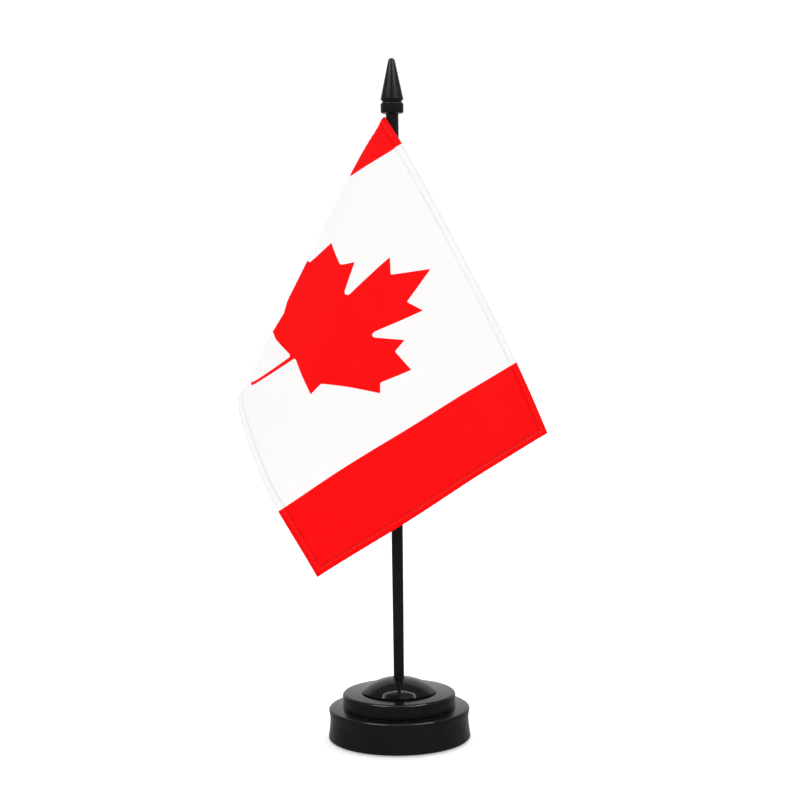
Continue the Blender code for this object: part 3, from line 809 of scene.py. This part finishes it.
# ---------------------------------------------------------------- studio

def turned_stage(name, profile, material, filled=False):
    """A surface turned through (radius, height) points. A filled one is closed inside the first of them."""
    verts = []
    for radius, height in profile:
        for i in range(STAGE_SIDES):
            angle = math.tau * i / STAGE_SIDES
            verts.append((radius * math.cos(angle), radius * math.sin(angle), height))
    faces = []
    for low in range(0, len(verts) - STAGE_SIDES, STAGE_SIDES):
        for j in range(STAGE_SIDES):
            beside = (j + 1) % STAGE_SIDES
            faces.append((low + j, low + beside, low + beside + STAGE_SIDES, low + j + STAGE_SIDES))
    if filled:
        faces.append(tuple(range(STAGE_SIDES)))
    piece = new_piece(name, verts, faces, material)
    piece.visible_glossy = False


def floor_material():
    """Pale and matt, with a glow of its own that takes it to white."""
    material, nodes, links, shader = new_material("floor")
    grain = noise(nodes, links, object_coords(nodes), 40, 3)
    links.new(mix_colour(nodes, links, grain, (0.74, 0.74, 0.74), (0.77, 0.77, 0.77)),
              shader.inputs["Base Color"])
    shader.inputs["Roughness"].default_value = 0.9
    shader.inputs["Specular IOR Level"].default_value = 0.1
    shader.inputs["Emission Color"].default_value = (1, 1, 1, 1)
    shader.inputs["Emission Strength"].default_value = FLOOR_GLOW
    return material


def soft_box(name, place, target, size, power, shows, lights):
    """A rectangular lamp. One that shows is seen in glossy faces; one that lights reaches matt ones."""
    lamp = bpy.data.lights.new(name, "AREA")
    lamp.shape = "RECTANGLE"
    lamp.size = size[0]
    lamp.size_y = size[1]
    lamp.energy = power
    holder = bpy.data.objects.new(name, lamp)
    bpy.context.scene.collection.objects.link(holder)
    holder.location = place
    holder.rotation_euler = (Vector(target) - Vector(place)).to_track_quat("-Z", "Y").to_euler()
    holder.visible_glossy = shows
    holder.visible_diffuse = lights
    holder.visible_camera = False


def studio():
    """A pale floor that curves up into a wall all round, under soft lamps."""
    material = floor_material()
    turned_stage("floor", [(0.02, 0), (FLOOR_RADIUS, 0)], material, filled=True)
    wall = [(FLOOR_RADIUS, 0.0)]
    for i in range(1, WALL_PARTS + 1):
        angle = math.pi / 2 * i / WALL_PARTS
        wall.append((FLOOR_RADIUS + WALL_BEND * math.sin(angle), WALL_BEND * (1 - math.cos(angle))))
    wall.append((FLOOR_RADIUS + WALL_BEND, WALL_HEIGHT))
    turned_stage("sweep", wall[::-1], material)

    world = bpy.data.worlds.new("studio")
    bpy.context.scene.world = world
    world.use_nodes = True
    world.node_tree.nodes["Background"].inputs["Color"].default_value = WORLD_COLOUR
    world.node_tree.nodes["Background"].inputs["Strength"].default_value = WORLD_LIGHT
    for boxes, shows, lights in ((LAMPS, False, True), (PANELS, True, True), (CARDS, True, False)):
        for box in boxes:
            soft_box(*box, shows, lights)
    bpy.context.scene.view_settings.view_transform = "Standard"


def camera():
    """Stands in front, a little above the base and less than a metre away."""
    data = bpy.data.cameras.new("camera")
    data.sensor_fit = "HORIZONTAL"
    data.sensor_width = CAMERA_SENSOR
    data.lens = CAMERA_LENS
    holder = bpy.data.objects.new("camera", data)
    bpy.context.scene.collection.objects.link(holder)
    pitch = math.radians(CAMERA_PITCH)
    roll = math.radians(CAMERA_ROLL)
    turn = Matrix.Rotation(math.radians(CAMERA_TURN), 4, "Z") @ Matrix.Rotation(math.pi / 2 - pitch, 4, "X")
    holder.matrix_world = Matrix.Translation(CAMERA_PLACE) @ turn @ Matrix.Rotation(roll, 4, "Z")
    bpy.context.scene.camera = holder


def paint_parts():
    """Gives each moulded or turned part the material of its slot."""
    by_slot = {
        "gloss_black": plastic("gloss_black", (0.0045, 0.0043, 0.0043), rough_low=0.07, rough_high=0.14,
                               grain=0.008, grain_size=500, level=0.12),
        "satin_black": plastic("satin_black", (0.0055, 0.0055, 0.0055), rough_low=0.24, rough_high=0.36,
                               grain=0.06, grain_size=1400, level=0.06),
        "cover_plastic": plastic("cover_plastic", (0.015, 0.015, 0.015), rough_low=0.5, rough_high=0.65,
                                 grain=0.15, grain_size=1200),
        "zinc_steel": metal("zinc_steel", (0.62, 0.62, 0.60), rough_low=0.25, rough_high=0.42,
                            size=300, strength=0.05),
        "ballast_iron": metal("ballast_iron", (0.25, 0.24, 0.24), rough_low=0.5, rough_high=0.75,
                              size=200, strength=0.4),
        "soft_bush": soft("soft_bush", (0.02, 0.02, 0.02), cell=900, strength=0.1),
        "foam": soft("foam", (0.012, 0.012, 0.012), cell=1500, strength=0.6),
    }
    for part in frame["record"]["subparts"]:
        node = frame["nodes"][part["node"]]
        if part["material_slot"] in by_slot:
            node.data.materials.clear()
            node.data.materials.append(by_slot[part["material_slot"]])
            smoothed(node)


def main():
    camera()
    studio()
    paint_parts()
    cloth = cloth_material()
    drape = Drape()
    sheet = flag(drape, cloth)
    edge = hem(drape, cloth)
    tube = sleeve(drape, cloth)
    seams = stitches(drape, thread_material())
    for piece in (sheet, edge, tube, seams):
        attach(piece, "flag")
    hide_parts("flag_cloth")
    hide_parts("flag_sleeve")


main()
